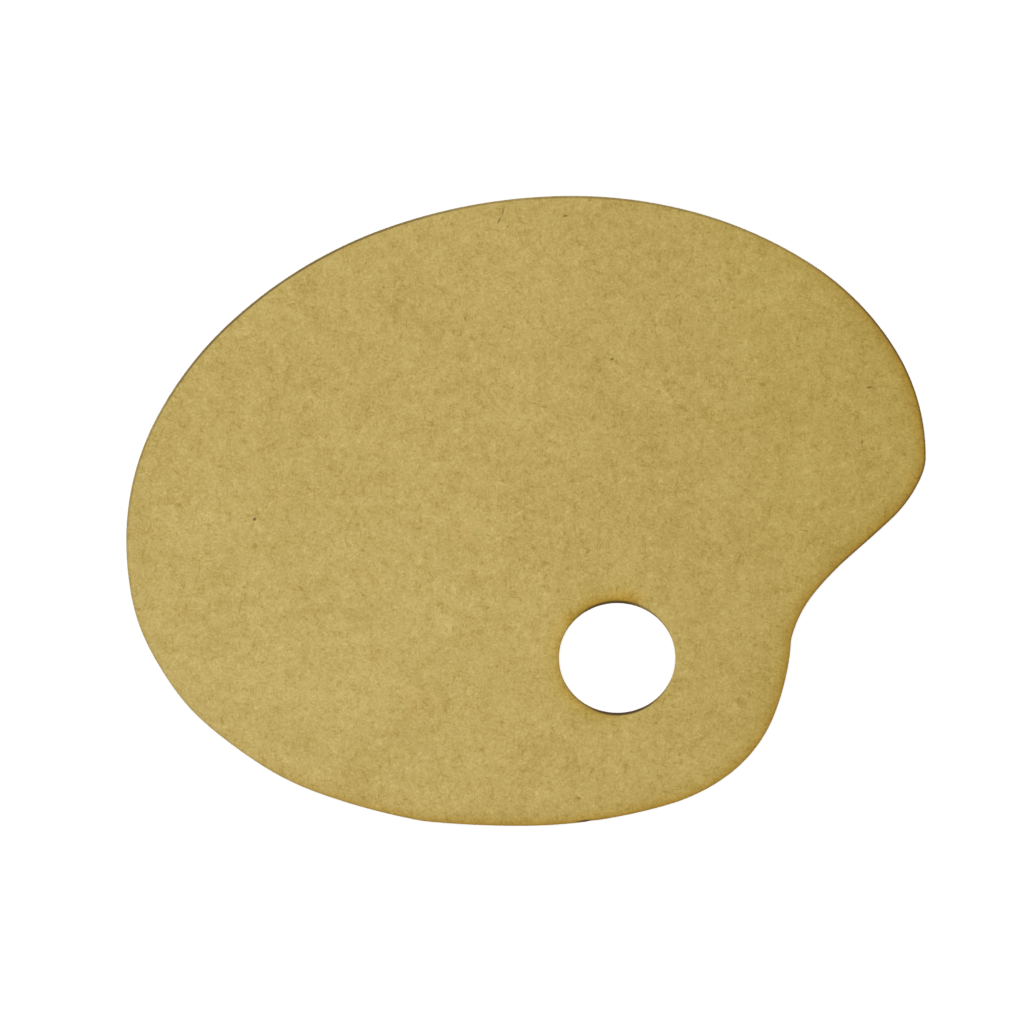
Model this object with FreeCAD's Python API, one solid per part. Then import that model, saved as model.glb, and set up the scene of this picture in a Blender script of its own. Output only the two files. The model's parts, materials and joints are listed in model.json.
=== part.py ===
import FreeCAD, Part
import math
import os
from collections import namedtuple

# Mixing palette: one flat board of laser-cut MDF with a round thumb hole and a finger notch.
# Millimetres, +Z up out of the mixing face, X along the board, Y from its front to its back.
# The origin is under the middle of the board's bounding rectangle, on the resting face.

# Driving dimensions.
LENGTH = 250.0
WIDTH = 197.0
THICKNESS = 3.0
THUMB_HOLE_DIAMETER = 36.0
THUMB_HOLE_X = 28.5
THUMB_HOLE_Y = -46.0

RIGHT_END = LENGTH / 2
LEFT_END = -LENGTH / 2
BACK = WIDTH / 2
FRONT = -WIDTH / 2

# A stop is a place on the cut edge, with the direction in which the edge arrives and leaves,
# in degrees from +X. The two differ only at a corner. The edge runs counter-clockwise, seen from
# above, and two tangent arcs join each stop to the next.
Stop = namedtuple("Stop", "x y arrives leaves")


def smooth(x, y, direction):
    return Stop(x, y, direction, direction)


OUTLINE = [
    smooth(14.5, BACK, 180),
    smooth(-93.0, 58.5, 223),       # left shoulder
    smooth(LEFT_END, -9.0, 270),
    smooth(-118.0, -42.5, 297),
    smooth(-99.0, -67.5, 320),
    smooth(-65.5, -88.0, 340),
    Stop(-32.0, -97.0, 350, 354),   # slight corner on the front
    smooth(-1.5, FRONT, 360),
    smooth(44.0, -92.0, 16),
    smooth(64.0, -82.0, 38),        # lobe beside the thumb hole
    Stop(83.0, -40.0, 86, 76),      # corner where the finger notch begins
    smooth(101.5, -14.0, 41),       # finger notch
    smooth(123.5, 10.5, 66),        # nose beyond the notch
    smooth(RIGHT_END, 17.0, 90),
    smooth(89.5, 77.0, 147),        # right shoulder
]


def direction_vector(degrees):
    angle = math.radians(degrees)
    return FreeCAD.Vector(math.cos(angle), math.sin(angle), 0)


def arc_from_tangent(start, tangent, end):
    """The circular arc that leaves start along tangent and reaches end."""
    chord = end - start
    sideways = FreeCAD.Vector(-chord.y, chord.x, 0)
    bend = math.atan2(tangent.cross(chord).z, tangent.dot(chord))
    middle = start + chord * 0.5 - sideways * (0.5 * math.tan(bend / 2))
    return Part.Arc(start, middle, end).toShape()


def meeting_point(start, leaves, end, arrives):
    """Where the two tangent arcs that join start to end meet, with equal tangent lengths."""
    span = end - start
    along = span.dot(leaves + arrives)
    turn = 2 * (1 - leaves.dot(arrives))
    reach = (math.sqrt(along ** 2 + turn * span.dot(span)) - along) / turn
    return (start + end + (leaves - arrives) * reach) * 0.5


def edges_between(stop, following):
    """Two tangent arcs from one stop to the next."""
    start = FreeCAD.Vector(stop.x, stop.y, 0)
    end = FreeCAD.Vector(following.x, following.y, 0)
    leaves = direction_vector(stop.leaves)
    arrives = direction_vector(following.arrives)
    meeting = meeting_point(start, leaves, end, arrives)
    first = arc_from_tangent(start, leaves, meeting)
    second = arc_from_tangent(end, -arrives, meeting)
    return [first, second]


def outline_wire():
    edges = []
    for stop, following in zip(OUTLINE, OUTLINE[1:] + OUTLINE[:1]):
        edges += edges_between(stop, following)
    return Part.Wire(edges)


def thumb_hole():
    """A round cutter, longer than the board is thick."""
    margin = 1.0
    base = FreeCAD.Vector(THUMB_HOLE_X, THUMB_HOLE_Y, -margin)
    return Part.makeCylinder(THUMB_HOLE_DIAMETER / 2, THICKNESS + 2 * margin, base)


def palette_board():
    blank = Part.Face(outline_wire()).extrude(FreeCAD.Vector(0, 0, THICKNESS))
    return blank.cut(thumb_hole())


os.makedirs("parts", exist_ok=True)
board = palette_board()
board.exportStep("parts/palette_board.step")

box = board.BoundBox
print("palette_board: valid", board.isValid(), "solids", len(board.Solids))
print("box", round(box.XLength, 3), "x", round(box.YLength, 3), "x", round(box.ZLength, 3), "mm")
print("volume", round(board.Volume), "mm3")
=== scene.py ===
"""Mixing palette: one thin fibreboard, laser-cut, with a thumb hole and a finger notch.

Everything is in metres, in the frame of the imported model: X along the board, Y from its front to
its back, Z up out of the mixing face, and the resting face on z = 0.
"""

import json
import math
import bmesh
import bpy
from bpy.props import FloatProperty, FloatVectorProperty, IntProperty, PointerProperty
from mathutils import Euler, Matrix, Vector


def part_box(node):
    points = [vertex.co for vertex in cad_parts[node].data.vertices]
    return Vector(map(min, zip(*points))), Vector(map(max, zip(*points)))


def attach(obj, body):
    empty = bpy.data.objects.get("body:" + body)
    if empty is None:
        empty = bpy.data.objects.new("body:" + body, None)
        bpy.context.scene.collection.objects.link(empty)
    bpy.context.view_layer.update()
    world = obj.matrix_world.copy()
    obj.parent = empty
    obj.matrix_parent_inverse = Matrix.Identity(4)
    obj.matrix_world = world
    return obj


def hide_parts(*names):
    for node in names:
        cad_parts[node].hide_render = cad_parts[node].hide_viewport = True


bl_info = {
    "name": "Mixing Palette",
    "version": (1, 0, 0),
    "blender": (4, 5, 0),
    "location": "3D View > Sidebar > Palette",
    "description": "Models a laser-cut fibreboard mixing palette and lays it on a pale table",
    "category": "Object",
}

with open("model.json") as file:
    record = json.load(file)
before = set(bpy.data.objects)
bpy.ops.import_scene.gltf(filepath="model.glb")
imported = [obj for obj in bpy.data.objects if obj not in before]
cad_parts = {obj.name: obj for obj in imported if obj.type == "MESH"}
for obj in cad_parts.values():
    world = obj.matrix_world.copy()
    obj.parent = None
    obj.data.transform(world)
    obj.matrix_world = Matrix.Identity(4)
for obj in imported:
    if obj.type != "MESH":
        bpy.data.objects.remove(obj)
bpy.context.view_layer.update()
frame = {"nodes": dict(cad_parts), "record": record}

MM = 0.001
BOARD_LOW, BOARD_HIGH = [Vector(corner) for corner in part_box("palette_board")]
THICKNESS = BOARD_HIGH.z - BOARD_LOW.z
THUMB_HOLE = next(mount for mount in frame["record"]["mounts"] if mount["name"] == "thumb_hole")
HOLE_X, HOLE_Y, HOLE_Z = THUMB_HOLE["pos_m"]
HOLE_RADIUS = THUMB_HOLE["dims"]["r_mm"] * MM

# The burnt corner round each face, as steps in from the cut and up, in millimetres.
TOP_CORNER = [(0.08, 0.17), (0.14, 0.08)]
FOOT_CORNER = [(0.03, 0.07), (0.05, 0.03)]

# Rows on a face beyond its corner, each so many millimetres further in than the one before.
FACE_ROWS = [0.2, 0.3, 0.6, 1.0, 1.5, 2.0, 2.5, 3.0]

# How far each of those rows is raised before it is drawn in, in millimetres.
ROW_RISE = 1

# Middles of the darkest stretch of the cut and of the palest part of the face, where light is
# painted on, in millimetres.
NOSE = (BOARD_HIGH.x / MM, 20, BOARD_HIGH.z / MM)
PAINTED_LIGHT_SPOT = (-72, -42, BOARD_HIGH.z / MM)

# Where the beam started, in millimetres to the right of the middle and in from the front.
BEAM_START_X = 20.4
BEAM_START_IN = 1.55

# Dark fibres that stand out on the mixing face, in millimetres:
# x, y, length, width, turn from +X in degrees, darkness.
FIBRES = [
    (-7.2, 93.5, 3.4, 0.80, 76, 0.70),
    (-8.4, 90.8, 3.2, 0.90, 62, 0.72),
    (-5.8, 88.6, 2.6, 0.60, 58, 0.40),
    (12.3, 92.2, 2.0, 0.90, 8, 0.90),
    (60.6, 71.8, 3.0, 0.60, 118, 0.50),
    (47.3, 67.1, 3.6, 0.55, 38, 0.45),
    (107.2, 38.6, 2.8, 0.75, 2, 0.85),
    (105.0, 21.4, 2.4, 0.70, 88, 0.75),
    (-6.9, 57.5, 1.0, 0.80, 70, 0.75),
    (-19.0, 60.2, 1.7, 0.70, 84, 0.65),
    (26.9, 47.4, 1.5, 0.90, 30, 0.95),
    (17.7, 5.8, 0.9, 0.80, 45, 0.75),
    (16.6, -89.8, 1.1, 0.90, 45, 0.80),
    (40.7, -66.4, 1.1, 0.85, 10, 0.60),
    (31.6, -93.2, 1.6, 0.70, 8, 0.45),
]

# Black marks, given in the same way: the burn where the beam started on the outline, and a speck.
BURNS = [
    (18.3, -96.85, 6.4, 0.85, 7, 0.95),
    (-84.8, -2.6, 1.5, 1.10, 45, 0.95),
]


def shaded(colour, factors):
    """A colour with its red, green and blue multiplied."""
    return tuple(channel * factor for channel, factor in zip(colour, factors)) + (1,)


def direction(degrees):
    """A unit vector in the plane of the board, turned so far from +X."""
    turn = math.radians(degrees)
    return Vector((math.cos(turn), math.sin(turn), 0))


# ---------------------------------------------------------------- sizes and colours

class PaletteBoardSettings(bpy.types.PropertyGroup):
    """Sizes and colours of the cut board"""
    pitch: FloatProperty(
        name="Pitch", description="Longest step of the mesh along the cut edge",
        default=0.5 * MM, min=0.2 * MM, unit="LENGTH")
    hole_lean: FloatProperty(
        name="Hole Lean", description="How far the hole's foot stands in at its front and back",
        default=0.83 * MM, min=0, unit="LENGTH")
    hole_spread: FloatProperty(
        name="Hole Spread", description="How far the hole's foot stands back at its right",
        default=0.2 * MM, min=0, unit="LENGTH")
    hole_drift: FloatProperty(
        name="Hole Drift", description="How far the beam drifted to the front on its way down",
        default=0.1 * MM, min=0, unit="LENGTH")
    hole_oval: FloatProperty(
        name="Hole Oval", description="How far its sides stand out and its front and back in",
        default=0.19 * MM, min=0, unit="LENGTH")
    wall_lean: FloatProperty(
        name="Wall Lean", description="How far the top of the cut stands back from its foot",
        default=0.05 * MM, min=0, unit="LENGTH")
    ripple: FloatProperty(
        name="Ripple", description="Depth of the ripple that the beam leaves in the cut wall",
        default=0.02 * MM, min=0, unit="LENGTH")
    nick: FloatProperty(
        name="Nick", description="Depth of the dent where the beam started on the outline",
        default=0.12 * MM, min=0, unit="LENGTH")
    seed: IntProperty(
        name="Seed", description="Seed of the ripple in the cut wall", default=7, min=0)
    board: FloatVectorProperty(
        name="Board", description="Colour of the plain fibreboard",
        subtype="COLOR", size=4, default=(0.467, 0.347, 0.107, 1))
    toast: FloatVectorProperty(
        name="Toast", description="What the smoke stain beside the cut multiplies the board by",
        subtype="COLOR", size=4, default=(0.72, 0.52, 0.0, 1))
    hole_toast: FloatVectorProperty(
        name="Hole Toast", description="The same right beside the thumb hole",
        subtype="COLOR", size=4, default=(0.66, 0.50, 0.0, 1))
    hole_haze: FloatVectorProperty(
        name="Hole Haze", description="The same further out from the thumb hole",
        subtype="COLOR", size=4, default=(0.90, 0.68, 0.0, 1))
    char: FloatVectorProperty(
        name="Char", description="Colour of the charred cut wall",
        subtype="COLOR", size=4, default=(0.090, 0.048, 0.011, 1))
    scorch: FloatVectorProperty(
        name="Scorch", description="Colour of the hole's wall where it is only scorched",
        subtype="COLOR", size=4, default=(0.27, 0.18, 0.05, 1))
    fleck: FloatVectorProperty(
        name="Fleck", description="Colour of the dark fibres in the face",
        subtype="COLOR", size=4, default=(0.15, 0.10, 0.02, 1))
    smoke_reach: FloatProperty(
        name="Smoke Reach", description="Distance over which the smoke stain fades to a third",
        default=2.2 * MM, min=0.5 * MM, unit="LENGTH")


class PaletteStageSettings(bpy.types.PropertyGroup):
    """The table, the light and the camera"""
    table: FloatVectorProperty(
        name="Table", description="Colour of the pale table",
        subtype="COLOR", size=4, default=(0.97, 0.97, 0.97, 1))
    table_size: FloatProperty(
        name="Table Size", description="Side of the square table",
        default=24, min=1, unit="LENGTH")
    glow: FloatProperty(
        name="Glow", description="How much light comes up through the table", default=0.3, min=0)
    sky: FloatProperty(
        name="Sky", description="Strength of the even light from all round", default=0.7, min=0)
    key: FloatProperty(
        name="Key", description="Power of the large soft lamp above the board",
        default=11.9, min=0, unit="POWER")
    lamp_size: FloatProperty(
        name="Lamp Size", description="Side of the square soft lamp",
        default=1.6, min=0.1, unit="LENGTH")
    lamp_place: FloatVectorProperty(
        name="Lamp Place", description="Where the soft lamp hangs",
        subtype="TRANSLATION", default=(-0.1, 0.05, 1.5))
    aim: FloatVectorProperty(
        name="Aim", description="The spot that the camera stands above, from the board's middle",
        subtype="TRANSLATION", size=2, default=(-0.00438, -0.00035))
    view_width: FloatProperty(
        name="View Width", description="Width that the camera sees at the mixing face",
        default=0.32, min=0.1, unit="LENGTH")
    lens: FloatProperty(
        name="Lens", description="Focal length of the camera in millimetres",
        default=100, min=20, unit="CAMERA")


# ---------------------------------------------------------------- mesh work

def start_alone(obj):
    """Make obj the only selected object, with all of its mesh selected in edit mode."""
    bpy.ops.object.select_all(action="DESELECT")
    bpy.context.view_layer.objects.active = obj
    obj.select_set(True)
    bpy.ops.object.mode_set(mode="EDIT")
    bpy.ops.mesh.select_all(action="SELECT")


def select(obj, kind, wanted):
    """Select the vertices, edges or faces that are wanted, and say how many there are."""
    bpy.ops.mesh.select_mode(type=kind)
    bpy.ops.mesh.select_all(action="DESELECT")
    mesh = bmesh.from_edit_mesh(obj.data)
    parts = {"VERT": mesh.verts, "EDGE": mesh.edges, "FACE": mesh.faces}[kind]
    found = [part for part in parts if wanted(part)]
    for part in found:
        part.select_set(True)
    mesh.select_flush_mode()
    bmesh.update_edit_mesh(obj.data)
    return len(found)


def near_hole(point):
    """Whether a point belongs to the thumb hole's rim and not to the outline."""
    reach = 1.5 * HOLE_RADIUS
    return (point.xy - Vector((HOLE_X, HOLE_Y))).length < reach


def keep_lower_rims(board):
    """Take everything away but the two lines of the cut on the resting face."""
    select(board, "FACE", lambda face: face.normal.z > -0.9)
    bpy.ops.mesh.delete(type="FACE")
    bpy.ops.mesh.select_all(action="SELECT")
    bpy.ops.mesh.region_to_loop()
    bpy.ops.mesh.select_all(action="INVERT")
    bpy.ops.mesh.delete(type="EDGE")


def raise_walls(board):
    """Draw the rims up into the upright walls between the two burnt corners."""
    foot = sum(rise for step, rise in FOOT_CORNER) * MM
    top = THICKNESS - sum(rise for step, rise in TOP_CORNER) * MM
    bpy.ops.mesh.select_all(action="SELECT")
    bpy.ops.transform.translate(value=(0, 0, foot))
    bpy.ops.mesh.extrude_region_move(TRANSFORM_OT_translate={"value": (0, 0, top - foot)})
    bpy.ops.mesh.select_all(action="SELECT")
    bpy.ops.mesh.normals_make_consistent(inside=False)
    select(board, "FACE", lambda face: near_hole(face.calc_center_median()))
    bpy.ops.mesh.flip_normals()


def refine_walls(board, pitch):
    """Halve the steps along the cut, smoothly, until none is longer than the pitch."""
    def too_long(edge):
        low, high = sorted(point.co.z for point in edge.verts)
        level = high - low < 0.1 * THICKNESS
        return level and edge.calc_length() > pitch

    while select(board, "EDGE", too_long):
        bpy.ops.mesh.subdivide(number_cuts=1, smoothness=1)


def note_outward(board):
    """Store on each point the direction that the cut wall faces there, and no distance from it."""
    mesh = bmesh.from_edit_mesh(board.data)
    mesh.verts.layers.float.new("cut_mm")
    outward = mesh.verts.layers.float_vector.new("outward")
    for point in mesh.verts:
        point[outward] = point.normal
    bmesh.update_edit_mesh(board.data)


def note_distance(board, distance):
    """Store the distance from the cut, in millimetres, on the selected points."""
    mesh = bmesh.from_edit_mesh(board.data)
    cut_mm = mesh.verts.layers.float["cut_mm"]
    for point in mesh.verts:
        if point.select:
            point[cut_mm] = distance
    bmesh.update_edit_mesh(board.data)


def lean_walls(board, sizes):
    """Draw the top of the outline back a little, and give the hole the beam's slightly oval cone."""
    middle = THICKNESS / 2
    centre = (HOLE_X, HOLE_Y, 0)
    select(board, "VERT", lambda point: point.co.z > middle and not near_hole(point.co))
    bpy.ops.transform.shrink_fatten(value=-sizes.wall_lean)
    select(board, "VERT", lambda point: near_hole(point.co))
    oval = sizes.hole_oval / HOLE_RADIUS
    bpy.ops.transform.resize(value=(1 + oval, 1 - oval, 1), center_override=centre)
    select(board, "VERT", lambda point: point.co.z < middle and near_hole(point.co))
    squeeze = (sizes.hole_lean - sizes.hole_oval) / HOLE_RADIUS
    spread = sizes.hole_spread / 2
    stretch = spread / HOLE_RADIUS
    bpy.ops.transform.resize(value=(1 + stretch, 1 - squeeze, 1), center_override=centre)
    bpy.ops.transform.translate(value=(spread, -sizes.hole_drift, 0))


def close_face(board, corner, level, side):
    """Turn the corner at one end of the walls, and close that face with rows that follow the cut.

    Each row is raised before it is drawn in, so that it moves straight in from the cut. The rows
    of the face are then pressed flat on its level. side is 1 for the mixing face, -1 for the
    resting face.
    """
    def on_rim(edge):
        return edge.is_boundary and side * (edge.verts[0].co.z - THICKNESS / 2) > 0

    raised = [(step, ROW_RISE) for step in FACE_ROWS]
    distance = 0
    select(board, "EDGE", on_rim)
    for step, rise in corner + raised:
        distance += step
        bpy.ops.mesh.extrude_region_move(TRANSFORM_OT_translate={"value": (0, 0, side * rise * MM)})
        bpy.ops.transform.shrink_fatten(value=-step * MM)
        note_distance(board, distance)
    above = ROW_RISE / 2 * MM
    select(board, "VERT", lambda point: side * (point.co.z - level) > above)
    bpy.ops.transform.resize(value=(1, 1, 0), center_override=(0, 0, level))
    select(board, "EDGE", on_rim)
    bpy.ops.mesh.fill(use_beauty=False)


def burn_nick(board, depth):
    """Press a slight dent into the cut at the spot on the front where the beam started."""
    spot = Vector((BEAM_START_X * MM, BOARD_LOW.y + BEAM_START_IN * MM))
    reach = 0.4 * MM
    select(board, "VERT", lambda point: (point.co.xy - spot).length < reach)
    bpy.ops.transform.translate(
        value=(0, depth, 0), use_proportional_edit=True,
        proportional_edit_falloff="SMOOTH", proportional_size=1.5 * MM)


def ripple_walls(board, depth, seed):
    """Ripple the cut walls in upright lines, between their two burnt corners."""
    foot = 0.05 * MM
    top = THICKNESS - 0.2 * MM
    select(board, "VERT", lambda point: foot < point.co.z < top)
    bpy.ops.transform.vertex_random(offset=depth, uniform=0, normal=1, seed=seed)


def model_board(sizes):
    """The cut board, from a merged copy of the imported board's mesh."""
    sharpest = math.radians(40)
    packed = frame["nodes"]["palette_board"]
    board = bpy.data.objects.new("cut_board", packed.data.copy())
    bpy.context.scene.collection.objects.link(board)
    board.data.materials.clear()
    start_alone(board)
    bpy.ops.mesh.remove_doubles(threshold=0.001 * MM)
    bpy.ops.mesh.customdata_custom_splitnormals_clear()
    keep_lower_rims(board)
    raise_walls(board)
    refine_walls(board, sizes.pitch)
    note_outward(board)
    lean_walls(board, sizes)
    close_face(board, TOP_CORNER, BOARD_HIGH.z, 1)
    close_face(board, FOOT_CORNER, BOARD_LOW.z, -1)
    burn_nick(board, sizes.nick)
    ripple_walls(board, sizes.ripple, sizes.seed)
    bpy.ops.mesh.select_all(action="DESELECT")
    bpy.ops.object.mode_set(mode="OBJECT")
    bpy.ops.object.shade_smooth_by_angle(angle=sharpest)
    return board


# ---------------------------------------------------------------- shader maths

class Value:
    """A number that a shader socket carries. Sums on it add Math nodes."""

    def __init__(self, shader, socket):
        self.shader = shader
        self.socket = socket

    def maths(self, operation, first, second=0.0):
        node = self.shader.node("ShaderNodeMath", {"operation": operation}, {0: first, 1: second})
        return Value(self.shader, node.outputs[0])

    def __add__(self, other):
        return self.maths("ADD", self, other)

    def __sub__(self, other):
        return self.maths("SUBTRACT", self, other)

    def __rsub__(self, other):
        return self.maths("SUBTRACT", other, self)

    def __mul__(self, other):
        return self.maths("MULTIPLY", self, other)

    def __truediv__(self, other):
        return self.maths("DIVIDE", self, other)

    __radd__ = __add__
    __rmul__ = __mul__

    def exp(self):
        return self.maths("EXPONENT", self)

    def size(self):
        """The number without its sign."""
        return self.maths("ABSOLUTE", self)

    def at_most(self, other):
        return self.maths("MINIMUM", self, other)

    def at_least(self, other):
        return self.maths("MAXIMUM", self, other)

    def step(self, low, high):
        """0 up to low, 1 from high on, and a smooth slope between them."""
        node = self.shader.node(
            "ShaderNodeMapRange", {"interpolation_type": "SMOOTHSTEP"},
            {"Value": self, "From Min": low, "From Max": high})
        return Value(self.shader, node.outputs["Result"])


class Shader:
    """A material's nodes."""

    def __init__(self, name):
        self.material = bpy.data.materials.new(name)
        self.material.use_nodes = True
        self.material.node_tree.nodes.clear()

    def node(self, kind, settings, sockets):
        """A node of a kind, with its settings made first and then its sockets' values or links."""
        tree = self.material.node_tree
        made = tree.nodes.new(kind)
        for name, setting in settings.items():
            setattr(made, name, setting)
        for name, value in sockets.items():
            if isinstance(value, Value):
                value = value.socket
            if isinstance(value, bpy.types.NodeSocket):
                tree.links.new(value, made.inputs[name])
            else:
                made.inputs[name].default_value = value
        return made

    def object_mm(self):
        """The place on the object, in millimetres."""
        place = self.node("ShaderNodeTexCoord", {}, {}).outputs["Object"]
        return self.scaled(place, (1000, 1000, 1000))

    def scaled(self, vector, factors):
        node = self.node("ShaderNodeVectorMath", {"operation": "MULTIPLY"}, {0: vector, 1: factors})
        return node.outputs[0]

    def dot(self, vector, axis):
        settings = {"operation": "DOT_PRODUCT"}
        node = self.node("ShaderNodeVectorMath", settings, {0: vector, 1: axis})
        return Value(self, node.outputs["Value"])

    def distance(self, vector, point):
        settings = {"operation": "DISTANCE"}
        node = self.node("ShaderNodeVectorMath", settings, {0: vector, 1: point})
        return Value(self, node.outputs["Value"])

    def attribute(self, name, output):
        node = self.node("ShaderNodeAttribute", {"attribute_name": name}, {})
        return node.outputs[output]

    def noise(self, place, size, detail=0.0, roughness=0.5):
        """Noise from about -1 to 1, whose largest spots are about as large as size."""
        node = self.node(
            "ShaderNodeTexNoise", {},
            {"Vector": place, "Scale": 1 / size, "Detail": detail, "Roughness": roughness})
        return Value(self, node.outputs["Fac"]) * 2 - 1

    def turned(self, place, degrees, along, across):
        """Place turned and squeezed, so that noise of size 1 makes strokes that long and wide."""
        turn = Euler((0, 0, -math.radians(degrees)))
        spun = self.node(
            "ShaderNodeMapping", {"vector_type": "POINT"}, {"Vector": place, "Rotation": turn})
        return self.scaled(spun.outputs[0], (1 / along, 1 / across, 1 / across))

    def mix(self, factor, first, second, blend="MIX"):
        """Two colours mixed, or the second blended onto the first."""
        settings = {"data_type": "RGBA", "blend_type": blend}
        node = self.node("ShaderNodeMix", settings, {0: factor, 6: first, 7: second})
        return node.outputs[2]


# ---------------------------------------------------------------- fibreboard

def single_marks(shader, place, marks):
    """How dark the few marks are that stand out, each one a soft streak."""
    total = 0.0
    for x, y, length, width, turn, darkness in marks:
        spot = shader.node(
            "ShaderNodeMapping", {"vector_type": "TEXTURE"},
            {"Vector": place, "Location": (x, y, THICKNESS / MM),
             "Rotation": Euler((0, 0, math.radians(turn))),
             "Scale": (length / 2, width / 2, width / 2)})
        away = shader.distance(spot.outputs[0], (0, 0, 0))
        total = total + darkness * (1 - away.step(0.2, 1.15))
    return total


def scattered_flecks(shader, place):
    """How dark the short flecks are that lie all over the board, in three directions."""
    total = 0.0
    for degrees, spacing in ((80, 7.0), (20, 9.0), (-35, 11.0)):
        strokes = shader.turned(place, degrees, 2.2 * spacing, spacing)
        cells = shader.node(
            "ShaderNodeTexVoronoi", {"feature": "F1"},
            {"Vector": strokes, "Scale": 1, "Randomness": 1})
        pick = shader.dot(cells.outputs["Color"], (1, 0, 0)).step(0.45, 1.0)
        away = Value(shader, cells.outputs["Distance"])
        total = total + pick * (1 - away.step(0.015, 0.055))
    return total


def felt(shader, place):
    """The light and dark of the pressed fibres, from about -1 to 1: spots, and lines four ways."""
    total = 0.45 * shader.noise(place, 18, 2, 0.8)
    total = total + 0.62 * shader.noise(place, 3.6, 2, 0.9)
    total = total + 0.90 * shader.noise(place, 0.8, 1, 0.8)
    for degrees, amount in ((82, -0.75), (28, 0.55), (-22, -0.75), (-68, 0.55)):
        strokes = shader.noise(shader.turned(place, degrees, 4.5, 0.9), 1)
        lines = (1 - 8 * strokes.size()).at_least(0)
        tufts = shader.noise(shader.turned(place, degrees, 3.0, 2.4), 1).step(-0.1, 0.4)
        total = total + amount * lines * tufts
    return total


def smoke_on_outline(shader, outward, nose):
    """Where the smoke blew over the outline: the front and the notch, and most on the nose."""
    return shader.dot(outward, direction(-30)).step(-0.37, 0.64) * (0.87 + 0.13 * nose)


def smoke_on_hole(shader, outward):
    """Where the smoke blew over the hole's rim: its left side, and most at its back."""
    left = shader.dot(outward, direction(0)).step(-0.5, 0.6)
    back = shader.dot(outward, direction(-70)).step(0.62, 0.87)
    return (0.68 * left).at_least(back)


def char_on_outline(shader, outward, nose):
    """How black the corner of the outline is: most on the nose and the left shoulder."""
    right = shader.dot(outward, direction(55)).step(0.7, 1.0)
    left = shader.dot(outward, direction(130)).step(0.5, 0.9)
    shoulder = shader.dot(outward, direction(125)).step(0.88, 0.99)
    return 0.19 + 0.52 * nose + 0.28 * right + 0.15 * left + 0.36 * shoulder


def char_on_hole(shader, outward):
    """How black the corner of the hole is: most at its front and back."""
    back = shader.dot(outward, direction(-85)).step(0.6, 0.95)
    front = shader.dot(outward, direction(100)).step(0.75, 0.98)
    return 0.05 + 0.5 * back + 0.45 * front


def char_on_hole_wall(shader, outward):
    """How black the hole's wall is: charred at its back and front, and only scorched between."""
    back = shader.dot(outward, direction(-82)).step(0.80, 0.97)
    front = shader.dot(outward, direction(96)).step(0.76, 0.96)
    return back.at_least(front)


class Site:
    """What the finish knows about each point: its place in millimetres, and the cut beside it."""

    def __init__(self, shader):
        rim = HOLE_RADIUS / MM
        hole_centre = Vector((HOLE_X, HOLE_Y, HOLE_Z)) / MM
        self.place = shader.object_mm()
        self.layers = shader.scaled(self.place, (1, 1, 9))
        self.outward = shader.attribute("outward", "Vector")
        self.cut = Value(shader, shader.attribute("cut_mm", "Fac"))
        self.hole = 1 - shader.distance(self.place, hole_centre).step(rim + 12, rim + 14)
        self.nose = 1 - shader.distance(self.place, NOSE).step(35, 75)

    def hole_or_outline(self, on_hole, on_outline):
        """One value beside the thumb hole, and the other everywhere else."""
        return self.hole * on_hole + (1 - self.hole) * on_outline


def plain_face(shader, site, sizes):
    """The board away from the cut: felted, a little darker to the right with smoke haze and painted
    shade, paler at its front left with painted light, and flecked.
    """
    dark = shaded(sizes.board, (0.75, 0.70, 0.48))
    light = shaded(sizes.board, (1.25, 1.30, 1.52))
    board = shader.mix(0.5 + 0.5 * felt(shader, site.layers), dark, light)

    # Darker and warmer to the right: partly smoke haze, partly painted shade where the light falls
    # off across the board.
    haze_and_painted_shade = shader.dot(site.place, direction(8)).step(-25, 135)
    board = shader.mix(haze_and_painted_shade, board, (0.885, 0.87, 0.72, 1), "MULTIPLY")
    # Painted light: the face made paler round its front left, where the light falls most strongly.
    pale = 1 - shader.distance(site.place, PAINTED_LIGHT_SPOT).step(10, 95)
    board = shader.mix(pale, board, (1.035, 1.045, 1.12, 1), "MULTIPLY")
    blotches = shader.noise(site.layers, 11).step(0.45, 0.75)
    board = shader.mix(blotches * 0.35, board, (1.0, 0.90, 0.78, 1), "MULTIPLY")

    scattered = 0.45 * scattered_flecks(shader, site.place)
    flecks = scattered + single_marks(shader, site.place, FIBRES)
    return shader.mix(flecks.at_most(1), board, sizes.fleck)


def smoke_stain(shader, site, sizes, board):
    """The board with the golden stain of the smoke beside the cut, half as strong underneath."""
    upper = shader.dot(site.place, (0, 0, 1)).step(1, 2)
    puffs = shader.noise(site.layers, 9, 2, 0.6)
    reach = sizes.smoke_reach / MM * (1 + 0.5 * puffs)
    near = (-1 * site.cut / reach).exp() * (1 - site.cut.step(6, 11))
    blown = site.hole_or_outline(
        smoke_on_hole(shader, site.outward), smoke_on_outline(shader, site.outward, site.nose))
    hole_toast = shader.mix(site.cut.step(0.3, 2.0), sizes.hole_toast, sizes.hole_haze)
    toast = shader.mix(site.hole, sizes.toast, hole_toast)
    return shader.mix(blown * near * (0.5 + 0.5 * upper), board, toast, "MULTIPLY")


def burnt_line(shader, site, sizes, board):
    """The board with its black marks and the dark line along the cut, crisp at the left shoulder."""
    burnt = site.hole_or_outline(
        char_on_hole(shader, site.outward), char_on_outline(shader, site.outward, site.nose))
    specks = shader.noise(site.layers, 1.6, 2, 0.7)
    soft = 1 - site.cut.step(0.1, 1.0 - 0.6 * site.hole + 0.2 * specks)
    hard = 1 - site.cut.step(0.66, 0.82 + 0.1 * specks)
    crisp = shader.dot(site.outward, direction(130)).step(0.3, 0.8)
    line = soft + (hard - soft) * crisp * (1 - site.hole)
    burns = burnt * line + single_marks(shader, site.place, BURNS)
    return shader.mix(burns.at_most(1), board, sizes.char)


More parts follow.
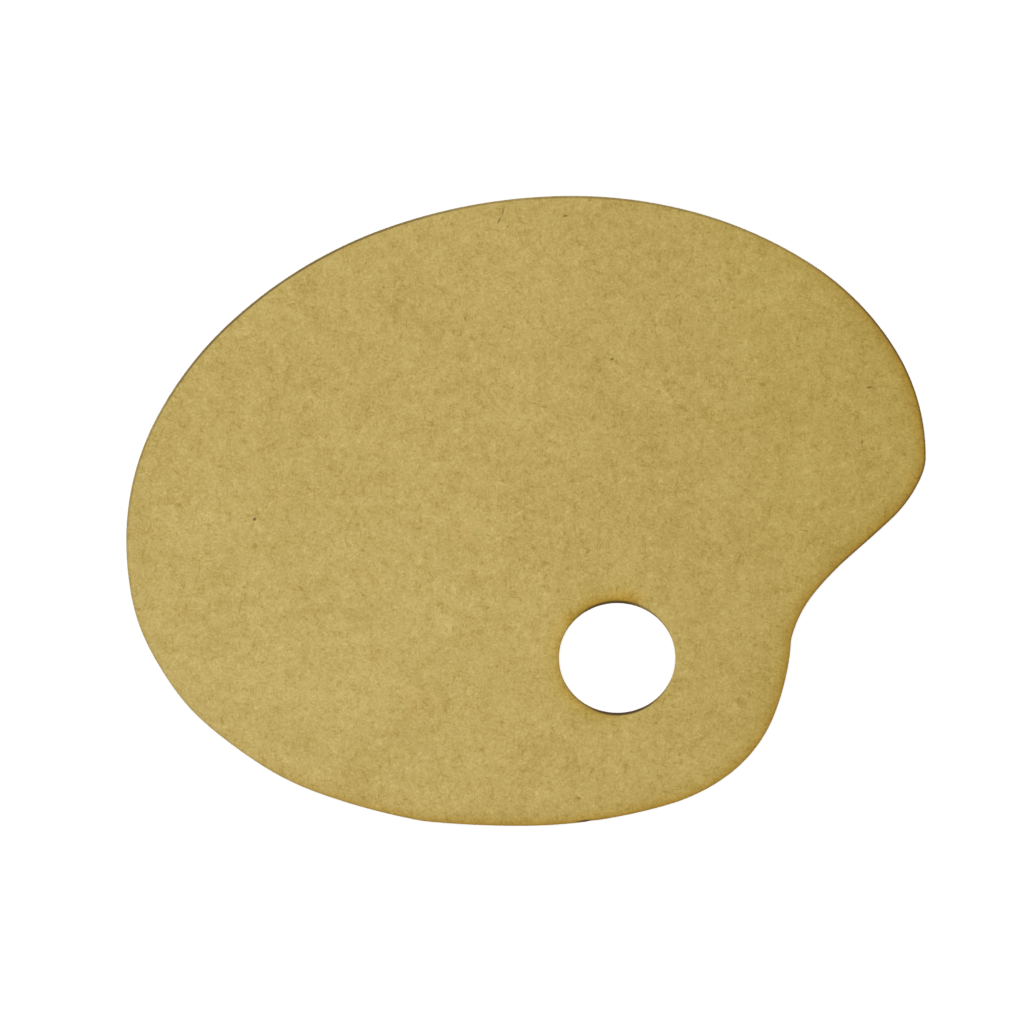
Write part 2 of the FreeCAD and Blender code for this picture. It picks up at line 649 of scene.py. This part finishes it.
def cut_wall(shader, site, sizes, streaks):
    """The cut wall, charred in upright streaks, and only scorched at the sides of the hole."""
    dark = shaded(sizes.char, (0.32, 0.32, 0.32))
    light = shaded(sizes.char, (1.35, 1.35, 1.35))
    charred = shader.mix(0.5 + 0.5 * streaks, dark, light)
    uncharred = 1 - char_on_hole_wall(shader, site.outward)
    return shader.mix(site.hole * uncharred * (0.8 + 0.2 * streaks), charred, sizes.scorch)


def fibreboard(sizes):
    """Plain pressed fibreboard, toasted and charred where the beam cut it."""
    shader = Shader("fibreboard")
    site = Site(shader)
    board = plain_face(shader, site, sizes)
    board = smoke_stain(shader, site, sizes, board)
    board = burnt_line(shader, site, sizes, board)

    streaks = shader.noise(shader.scaled(site.place, (1, 1, 0.12)), 0.35, 2, 0.7)
    wall = 1 - site.cut.step(0.0, 0.03)
    colour = shader.mix(wall, board, cut_wall(shader, site, sizes, streaks))

    grain = shader.noise(site.place, 0.5, 2, 0.6)
    relief = (1 - wall) * 0.012 * grain + wall * 0.05 * streaks
    bump = shader.node(
        "ShaderNodeBump", {}, {"Height": relief, "Distance": MM, "Strength": 1.0})
    surface = shader.node(
        "ShaderNodeBsdfPrincipled", {},
        {"Base Color": colour, "Roughness": 0.62 + 0.05 * grain + 0.3 * wall,
         "Normal": bump.outputs[0], "Specular IOR Level": 0.1})
    shader.node("ShaderNodeOutputMaterial", {}, {"Surface": surface.outputs[0]})
    return shader.material


# ---------------------------------------------------------------- stage

def table_finish(colour, glow):
    """Matt white paper with the faintest tooth, lit a little from under it."""
    shader = Shader("table_paper")
    tooth = shader.noise(shader.object_mm(), 2, 2, 0.6)
    dimmer = shaded(colour, (0.995, 0.995, 0.995))
    shade = shader.mix(0.5 + 0.5 * tooth, dimmer, colour)
    surface = shader.node(
        "ShaderNodeBsdfPrincipled", {},
        {"Base Color": shade, "Roughness": 0.9, "Specular IOR Level": 0.0,
         "Emission Color": (1, 1, 1, 1), "Emission Strength": glow})
    shader.node("ShaderNodeOutputMaterial", {}, {"Surface": surface.outputs[0]})
    return shader.material


def lay_table(stage):
    """A wide table just under the board, so that the two never lie in one plane."""
    gap = 0.05 * MM
    bpy.ops.mesh.primitive_plane_add(size=stage.table_size, location=(0, 0, BOARD_LOW.z - gap))
    table = bpy.context.active_object
    table.name = "table_top"
    bpy.ops.object.transform_apply(location=True, rotation=True, scale=True)
    table.data.materials.append(table_finish(stage.table, stage.glow))


def hang_lamp(stage):
    """A large soft lamp, turned to the board."""
    turn = Vector(stage.lamp_place).to_track_quat("Z", "Y").to_euler()
    bpy.ops.object.light_add(type="AREA", location=stage.lamp_place, rotation=turn)
    lamp = bpy.context.active_object
    lamp.name = "key_light"
    lamp.data.shape = "SQUARE"
    lamp.data.size = stage.lamp_size
    lamp.data.energy = stage.key


def light_sky(strength):
    """Even white light from all round."""
    world = bpy.data.worlds.new("studio_sky")
    world.use_nodes = True
    background = world.node_tree.nodes["Background"]
    background.inputs["Color"].default_value = (1, 1, 1, 1)
    background.inputs["Strength"].default_value = strength
    bpy.context.scene.world = world


def set_camera(stage):
    """A camera straight above the board, as high as its lens and the width in view ask for."""
    sensor = 36.0
    height = BOARD_HIGH.z + stage.view_width * stage.lens / sensor
    bpy.ops.object.camera_add(location=(*stage.aim, height), rotation=(0, 0, 0))
    camera = bpy.context.active_object
    camera.name = "camera_above"
    camera.data.sensor_width = sensor
    camera.data.lens = stage.lens
    camera.data.clip_end = stage.table_size
    bpy.context.scene.camera = camera


# ---------------------------------------------------------------- operators and panel

class PALETTE_OT_cut_board(bpy.types.Operator):
    """Model the cut board and give it its toasted fibreboard finish"""
    bl_idname = "palette.cut_board"
    bl_label = "Cut Board"

    def execute(self, context):
        sizes = context.scene.palette_board
        board = model_board(sizes)
        board.data.materials.append(fibreboard(sizes))
        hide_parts("palette_board")
        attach(board, "root")
        return {"FINISHED"}


class PALETTE_OT_stage(bpy.types.Operator):
    """Lay the pale table, hang the soft lamp and set the camera above the board"""
    bl_idname = "palette.stage"
    bl_label = "Stage"

    def execute(self, context):
        stage = context.scene.palette_stage
        bpy.ops.object.select_all(action="DESELECT")
        lay_table(stage)
        light_sky(stage.sky)
        hang_lamp(stage)
        set_camera(stage)
        context.scene.view_settings.view_transform = "Standard"
        return {"FINISHED"}


class PALETTE_PT_panel(bpy.types.Panel):
    """Sizes, colours and steps of the mixing palette"""
    bl_idname = "PALETTE_PT_panel"
    bl_label = "Mixing Palette"
    bl_space_type = "VIEW_3D"
    bl_region_type = "UI"
    bl_category = "Palette"

    def draw(self, context):
        for group, operator in ((context.scene.palette_board, PALETTE_OT_cut_board),
                                (context.scene.palette_stage, PALETTE_OT_stage)):
            box = self.layout.box()
            for name in type(group).__annotations__:
                box.prop(group, name)
            box.operator(operator.bl_idname)


CLASSES = [
    PaletteBoardSettings,
    PaletteStageSettings,
    PALETTE_OT_cut_board,
    PALETTE_OT_stage,
    PALETTE_PT_panel,
]


def register():
    for each in CLASSES:
        bpy.utils.register_class(each)
    bpy.types.Scene.palette_board = PointerProperty(type=PaletteBoardSettings)
    bpy.types.Scene.palette_stage = PointerProperty(type=PaletteStageSettings)


def unregister():
    del bpy.types.Scene.palette_stage
    del bpy.types.Scene.palette_board
    for each in reversed(CLASSES):
        bpy.utils.unregister_class(each)


def main():
    register()
    bpy.ops.palette.stage()
    bpy.ops.palette.cut_board()


if __name__ == "__main__":
    main()
